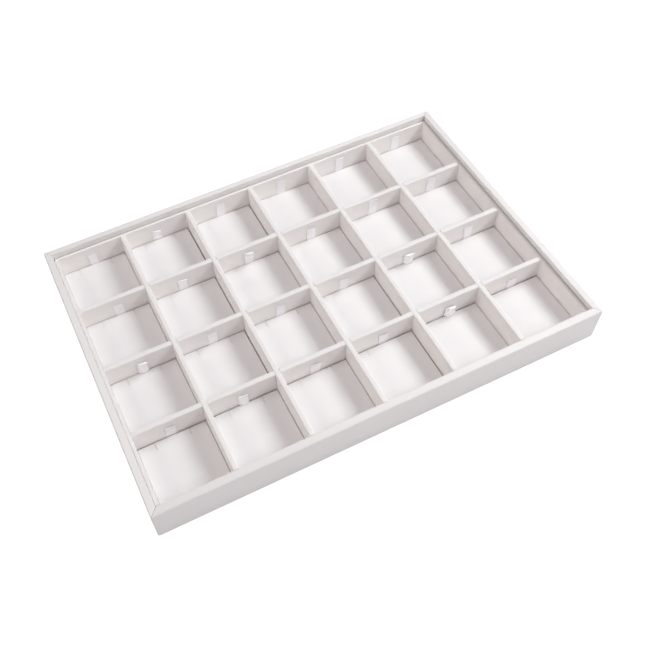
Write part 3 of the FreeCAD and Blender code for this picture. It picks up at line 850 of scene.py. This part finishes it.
def model_pad():
    """A foam pad in leatherette, at the origin, with rolled edges, chain slits and a recess below."""
    size = PAD_HIGH - PAD_LOW
    half = size / 2
    bpy.ops.object.select_all(action="DESELECT")
    bpy.ops.mesh.primitive_plane_add(size=1, location=(0, 0, size.z))
    piece = bpy.context.active_object
    piece.name = "pad_master"
    bpy.ops.transform.resize(value=(size.x, size.y, 1))
    bpy.ops.object.transform_apply(location=True, rotation=True, scale=True)

    slit_middle = sizes().slit_spacing / 2
    slit_half = sizes().slit_width / 2
    slit_end = half.y - sizes().slit_length
    slit_edges = (-slit_half - SLIT_SUPPORT, -slit_half, slit_half, slit_half + SLIT_SUPPORT)
    cuts_x = [side * (slit_middle + edge) for side in (-1, 1) for edge in slit_edges]
    cuts_x += [side * half.x * share for side in (-1, 1) for share in PAD_CUTS_ACROSS]
    cuts_y = [slit_end]
    cuts_y += [half.y * share for share in PAD_CUTS_ALONG]
    bpy.ops.object.mode_set(mode="EDIT")
    for cuts, direction in ((cuts_x, RIGHTWARD), (cuts_y, -FRONTWARD)):
        for reach in cuts:
            bpy.ops.mesh.select_all(action="SELECT")
            bpy.ops.mesh.bisect(plane_co=direction * reach, plane_no=direction, threshold=CUT_TOLERANCE)

    def is_slit(face):
        place = face.calc_center_median()
        return abs(abs(place.x) - slit_middle) < slit_half and place.y > slit_end

    pick(piece, "FACE", is_slit)
    bpy.ops.mesh.delete(type="FACE")
    bpy.ops.object.mode_set(mode="OBJECT")
    apply_modifier(piece, "SOLIDIFY", {"thickness": size.z, "offset": -1})

    mesh = bmesh.new()
    mesh.from_mesh(piece.data)
    weights = mesh.edges.layers.float.new("bevel_weight_edge")
    for edge in mesh.edges:
        on_top = all(corner.co.z > size.z - TOUCHING for corner in edge.verts)
        if on_top and edge.calc_face_angle(0) > SHARP_FOLD:
            place = (edge.verts[0].co + edge.verts[1].co) / 2
            at_rim = max(abs(place.x) / half.x, abs(place.y) / half.y) > AT_RIM
            edge[weights] = 1.0 if at_rim else SLIT_EDGE_SHARE
    mesh.to_mesh(piece.data)
    mesh.free()
    rolled = {"width": sizes().pad_edge_round, "segments": 4, "limit_method": "WEIGHT"}
    apply_modifier(piece, "BEVEL", {**rolled, "use_clamp_overlap": False})

    recess_half = sizes().recess_width / 2
    recess_low = Vector((-recess_half, half.y - sizes().ribbon_tail - RECESS_SPARE, -CUTTER_MARGIN))
    recess_high = Vector((recess_half, half.y + CUTTER_MARGIN, RECESS_HEIGHT))
    cut_out(piece, add_box("recess", recess_low, recess_high))
    for corner in piece.data.vertices:
        if corner.co.z > size.z / 2:
            corner.co.z -= sizes().pad_crown * (1 - pad_profile(corner.co.x, corner.co.y, half))
    smooth(piece, SOFT_SMOOTH)
    return piece


class MakePads(bpy.types.Operator):
    """Models one pad and lays a copy in every compartment, each a little softened in its own way"""

    bl_idname = "jewelry_tray.make_pads"
    bl_label = "Make Pads"

    def execute(self, context):
        master = model_pad()
        covering = embossed_leatherette(
            "pad_leatherette", colours().pad, grain=0.9 * MM, relief=0.07 * MM, roughness=0.6
        )
        half = (PAD_HIGH - PAD_LOW) / 2
        slit_middle = sizes().slit_spacing / 2
        slit_reach = SLIT_SIDE_ZONE * sizes().slit_width
        slit_end = half.y - SLIT_END_ZONE * sizes().slit_length
        room = (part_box("pad_r1c2")[0].x - PAD_LOW.x - sizes().divider_thickness) / 2
        board_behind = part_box("back_liner")[0].y - PAD_HIGH.y
        for number, (cell, pad_place) in enumerate(PAD_PLACES.items()):
            left, right, behind_left, behind_right, rise, gape = pad_place
            low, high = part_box(f"pad_{cell}")
            middle = (low + high) / 2
            pad = copy_of(master, f"pad_{cell}_covered", Matrix.Identity(4))
            spread = (2 * room - (left + right) * MM) / (2 * half.x)
            closing = gape * MM / sizes().slit_width - 1
            for corner in pad.data.vertices:
                from_slit = abs(corner.co.x) - slit_middle
                if abs(from_slit) < slit_reach and corner.co.y > slit_end:
                    corner.co.x += math.copysign(1, corner.co.x) * from_slit * closing
                if corner.co.y > 0:
                    rightness = min(1.0, max(0.0, 0.5 + corner.co.x / half.x))
                    behind = behind_left + (behind_right - behind_left) * rightness
                    corner.co.y += (board_behind - behind * MM) * (corner.co.y / half.y) ** 2
                corner.co.x *= spread
                if corner.co.z > half.z:
                    softness = noise.noise(corner.co / PAD_PATCH + UPWARD * (PAD_NOISE_STEP * number))
                    corner.co.z += rise * MM - PAD_SOFTNESS * (1 + softness)
            place = Vector((middle.x + (left - right) / 2 * MM, middle.y, low.z))
            pad.data.transform(Matrix.Translation(place))
            dress(pad, covering, f"insert_{cell}", f"pad_{cell}")
        bpy.data.meshes.remove(master.data)
        return {"FINISHED"}


def pull_route(lean, stand, eye, crease_at, crease, foot, tail, pad_thickness):
    """The line that a ribbon follows from the end of one tail to the other, as points in its own plane.

    A point is how far behind the pad's back face it lies and its height, in millimetres.
    """
    outer, inner = PULL_BACK_PLY, PULL_FRONT_PLY
    route = [(-tail, TAIL_LOW), (-tail / 2, TAIL_LOW), (-TAIL_TURN, TAIL_LOW)]
    route += [(outer - BACK_TURN[0], TAIL_LOW), (outer, BACK_TURN[1])]
    route += [(outer, pad_thickness - STRAIGHT_END)]
    place = Vector((outer, pad_thickness + PULL_START))
    back_ply, front_ply = [], []
    for step in range(PULL_STEPS + 1):
        share = step / PULL_STEPS
        angle = math.radians(lean * min(1.0, LEAN_HASTE * share))
        heading = Vector((-math.sin(angle), math.cos(angle)))
        ahead = Vector((-heading.y, heading.x))
        dent = 1 - crease * math.exp(-(((share - crease_at) / CREASE_WIDTH) ** 2))
        swell = math.sin(share * math.pi / 2) ** LOOP_SWELL
        gap = outer - inner + (2 * eye - LOOP_CLOSURE) * dent * swell
        gap += foot * dent * (1 - share)
        back_ply.append(tuple(place))
        front_ply.append(tuple(place + ahead * gap))
        if step < PULL_STEPS:
            place = place + heading * ((stand - PULL_START - eye) / PULL_STEPS)
    tip = place + heading * (LOOP_TOP * eye)
    route += back_ply
    route += [tuple(tip + ahead * (shoulder * eye)) for shoulder in LOOP_SHOULDERS]
    route += front_ply[::-1]
    if foot:
        route += [(inner - foot * share, pad_thickness + FOOT_HEIGHT) for share in (1, 0.5, 0)]
    route += [(inner, pad_thickness - STRAIGHT_END)]
    route += [(inner, FRONT_TURN[1]), (inner - FRONT_TURN[0], TAIL_HIGH)]
    route += [(-TAIL_TURN, TAIL_HIGH), (-tail / 2, TAIL_HIGH), (-tail, TAIL_HIGH)]
    return route


def points_along(route):
    """Points of the smooth line that a route's control points shape, with how far along it each lies."""
    curve = bpy.data.curves.new("ribbon_route", "CURVE")
    curve.dimensions = "3D"
    curve.resolution_u = 10
    spline = curve.splines.new("NURBS")
    spline.points.add(len(route) - 1)
    for point, (behind, height) in zip(spline.points, route):
        point.co = (0, behind * MM, height * MM, 1)
    spline.order_u = 3
    spline.use_endpoint_u = True
    holder = bpy.data.objects.new("ribbon_route", curve)
    line = bpy.data.meshes.new_from_object(holder)
    points = [corner.co.copy() for corner in line.vertices]
    bpy.data.objects.remove(holder)
    bpy.data.curves.remove(curve)
    bpy.data.meshes.remove(line)
    reaches = [0.0]
    for before, after in zip(points, points[1:]):
        reaches.append(reaches[-1] + (after - before).length)
    return points, reaches


def point_at(points, reaches, share):
    """The place at a share of a line's length."""
    wanted = share * reaches[-1]
    index = 0
    while index < len(reaches) - 2 and reaches[index + 1] < wanted:
        index += 1
    span = reaches[index + 1] - reaches[index]
    return points[index].lerp(points[index + 1], (wanted - reaches[index]) / span if span else 0.0)


class MakeRibbons(bpy.types.Operator):
    """Models one strip of ribbon and folds a copy of it into every pull"""

    bl_idname = "jewelry_tray.make_ribbons"
    bl_label = "Make Ribbons"

    def execute(self, context):
        bpy.ops.object.select_all(action="DESELECT")
        bpy.ops.mesh.primitive_grid_add(x_subdivisions=8, y_subdivisions=150, size=1, calc_uvs=True)
        strip = bpy.context.active_object
        strip.name = "ribbon_strip"
        pad_thickness = (PAD_HIGH.z - PAD_LOW.z) / MM
        tail = sizes().ribbon_tail / MM
        plies_apart = (PULL_BACK_PLY - PULL_FRONT_PLY) * MM
        satin = None
        for cell, (lean, share, turn, tip_over, eye, crease_at, crease, foot) in PULL_FORMS.items():
            low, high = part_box(f"pad_{cell}")
            ribbon_low, ribbon_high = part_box(f"ribbon_{cell}")
            root = Vector(((ribbon_low.x + ribbon_high.x) / 2, high.y, low.z))
            stand = share * sizes().ribbon_stand / MM
            *_, pad_rise, _ = PAD_PLACES[cell]
            lying = pad_thickness + pad_rise
            route = pull_route(lean, stand, eye, crease_at, crease, foot, tail, lying)
            points, reaches = points_along(route)
            if satin is None:
                satin = woven_satin("woven_satin", colours().satin, sizes().ribbon_width, reaches[-1])
            ribbon = copy_of(strip, f"ribbon_{cell}_satin", Matrix.Identity(4))
            top = lying * MM
            for corner in ribbon.data.vertices:
                across = corner.co.x * sizes().ribbon_width
                place = point_at(points, reaches, corner.co.y + 0.5)
                height = max(0.0, place.z - top)
                rise = height / (stand * MM)
                # The loop is pinched at its left edge.
                back_line = PULL_BACK_PLY * MM - math.tan(math.radians(lean)) * height
                from_left = corner.co.x + 0.5
                opening = FOOTED_WIDENING * from_left if foot else LEFT_OPENING + PLAIN_WIDENING * from_left
                ahead = back_line - place.y
                if height and ahead > plies_apart:
                    place.y += (ahead - plies_apart) * (1 - min(1.0, opening))
                angle = math.radians(turn) * rise
                place.x = across * math.cos(angle) + math.tan(math.radians(tip_over)) * height
                # The left edge stays by the board behind while the right edge comes forward.
                place.y -= (across + sizes().ribbon_width / 2) * math.sin(angle)
                corner.co = root + place
            apply_modifier(ribbon, "SOLIDIFY", {"thickness": sizes().ribbon_thickness, "offset": 0})
            smooth(ribbon, SOFT_SMOOTH)
            dress(ribbon, satin, f"insert_{cell}", f"ribbon_{cell}")
        bpy.data.meshes.remove(strip.data)
        return {"FINISHED"}


def camera_axes():
    """The camera's right, down and forward directions in the tray's frame."""
    azimuth, elevation = math.radians(CAMERA_AZIMUTH), math.radians(CAMERA_ELEVATION)
    roll = math.radians(CAMERA_ROLL)
    right = Vector((math.cos(azimuth), math.sin(azimuth), 0))
    back = Vector(
        (
            math.sin(azimuth) * math.cos(elevation),
            -math.cos(azimuth) * math.cos(elevation),
            math.sin(elevation),
        )
    )
    down = right.cross(back)
    turned_right = math.cos(roll) * right - math.sin(roll) * down
    turned_down = math.sin(roll) * right + math.cos(roll) * down
    return turned_right, turned_down, -back


def add_softbox(name, place, aim, sides, power, colour):
    """A rectangular area light that faces along its aim, and that the camera doesn't see."""
    lamp = bpy.data.lights.new(name, "AREA")
    lamp.shape = "RECTANGLE"
    lamp.size, lamp.size_y = sides
    lamp.energy = power
    lamp.color = colour
    softbox = bpy.data.objects.new(name, lamp)
    softbox.location = place
    softbox.rotation_euler = Vector(aim).to_track_quat("-Z", "Y").to_euler()
    softbox.visible_camera = False
    bpy.context.scene.collection.objects.link(softbox)


class MakeStage(bpy.types.Operator):
    """Sets up the floor, the soft light and the camera"""

    bl_idname = "jewelry_tray.make_stage"
    bl_label = "Make Stage"

    def execute(self, context):
        scene = context.scene
        scene.view_settings.view_transform = "Standard"
        bpy.ops.object.select_all(action="DESELECT")
        bpy.ops.mesh.primitive_plane_add(size=FLOOR_SIDE, location=(0, 0, -FLOOR_DROP))
        floor = bpy.context.active_object
        floor.name = "studio_floor"
        floor.data.materials.append(self.floor_paper())

        world = bpy.data.worlds.new("studio_world")
        scene.world = world
        world.use_nodes = True
        tree = world.node_tree
        tree.nodes.clear()
        rays = add_node(tree, "ShaderNodeLightPath")
        ambient = add_node(
            tree, "ShaderNodeBackground", None, {"Color": AMBIENT_COLOUR, "Strength": AMBIENT_STRENGTH}
        )
        backdrop = add_node(tree, "ShaderNodeBackground", None, {"Color": (1, 1, 1, 1), "Strength": 1.0})
        both = add_node(
            tree,
            "ShaderNodeMixShader",
            None,
            {
                0: rays.outputs["Is Camera Ray"],
                1: ambient.outputs["Background"],
                2: backdrop.outputs["Background"],
            },
        )
        add_node(tree, "ShaderNodeOutputWorld", None, {"Surface": both.outputs["Shader"]})

        for name, settings in SOFTBOXES.items():
            add_softbox(name, *settings)

        right, down, forward = camera_axes()
        camera_data = bpy.data.cameras.new("studio_camera")
        camera_data.sensor_width = SENSOR_WIDTH
        camera_data.lens = CAMERA_FOCAL_PIXELS / PICTURE_SIDE * SENSOR_WIDTH
        camera_data.shift_x = (PICTURE_SIDE / 2 - CAMERA_CENTRE_X) / PICTURE_SIDE
        camera_data.clip_start = CAMERA_NEAR
        camera_data.clip_end = CAMERA_FAR
        camera = bpy.data.objects.new("studio_camera", camera_data)
        place = -(right * CAMERA_TO_TRAY.x + down * CAMERA_TO_TRAY.y + forward * CAMERA_TO_TRAY.z) * MM
        turn = Matrix((right, -down, -forward)).transposed().to_4x4()
        camera.matrix_world = Matrix.Translation(place) @ turn
        scene.collection.objects.link(camera)
        scene.camera = camera
        return {"FINISHED"}

    def floor_paper(self):
        """Seamless studio paper: matte, and lifted to white for the camera while it keeps shadows."""
        material, tree, output = new_material("studio_paper")
        rays = add_node(tree, "ShaderNodeLightPath")
        place = add_node(tree, "ShaderNodeTexCoord").outputs["Object"]
        grain = add_node(
            tree, "ShaderNodeTexNoise", None, {"Vector": place, "Scale": 1 / (3 * MM), "Detail": 3}
        )
        bump = add_node(
            tree,
            "ShaderNodeBump",
            None,
            {"Strength": 0.1, "Distance": 0.05 * MM, "Height": grain.outputs["Fac"]},
        )
        paper = add_node(
            tree,
            "ShaderNodeBsdfDiffuse",
            None,
            {"Color": (*colours().floor, 1), "Normal": bump.outputs["Normal"]},
        )
        lift = add_node(
            tree,
            "ShaderNodeMath",
            {"operation": "MULTIPLY"},
            {0: rays.outputs["Is Camera Ray"], 1: FLOOR_LIFT},
        )
        glow = add_node(tree, "ShaderNodeEmission", None, {"Strength": lift.outputs[0]})
        both = add_node(
            tree, "ShaderNodeAddShader", None, {0: paper.outputs["BSDF"], 1: glow.outputs["Emission"]}
        )
        tree.links.new(both.outputs["Shader"], output.inputs["Surface"])
        return material


class TrayPanel(bpy.types.Panel):
    """Lists the tray's sizes, colours and steps"""

    bl_idname = "VIEW3D_PT_jewelry_tray"
    bl_label = "Jewelry Tray"
    bl_space_type = "VIEW_3D"
    bl_region_type = "UI"
    bl_category = "Jewelry Tray"

    def draw(self, context):
        for group in (sizes(), colours()):
            box = self.layout.box()
            for name in group.__annotations__:
                box.prop(group, name)
        for operator in OPERATORS:
            self.layout.operator(operator.bl_idname)


OPERATORS = (MakeStage, MakeWalls, MakeLiners, MakeDividers, MakeBase, MakePads, MakeRibbons)
CLASSES = (TraySizes, TrayColours, *OPERATORS, TrayPanel)


def register():
    """Registers the classes and hangs the properties on the scene."""
    for each in CLASSES:
        bpy.utils.register_class(each)
    bpy.types.Scene.jewelry_tray_sizes = bpy.props.PointerProperty(type=TraySizes)
    bpy.types.Scene.jewelry_tray_colours = bpy.props.PointerProperty(type=TrayColours)


def unregister():
    """Takes the properties and classes away again."""
    del bpy.types.Scene.jewelry_tray_colours
    del bpy.types.Scene.jewelry_tray_sizes
    for each in reversed(CLASSES):
        bpy.utils.unregister_class(each)


def main():
    """Builds the dressed tray."""
    register()
    bpy.ops.jewelry_tray.make_stage()
    bpy.ops.jewelry_tray.make_walls()
    bpy.ops.jewelry_tray.make_liners()
    bpy.ops.jewelry_tray.make_dividers()
    bpy.ops.jewelry_tray.make_base()
    bpy.ops.jewelry_tray.make_pads()
    bpy.ops.jewelry_tray.make_ribbons()


if __name__ == "__main__":
    main()
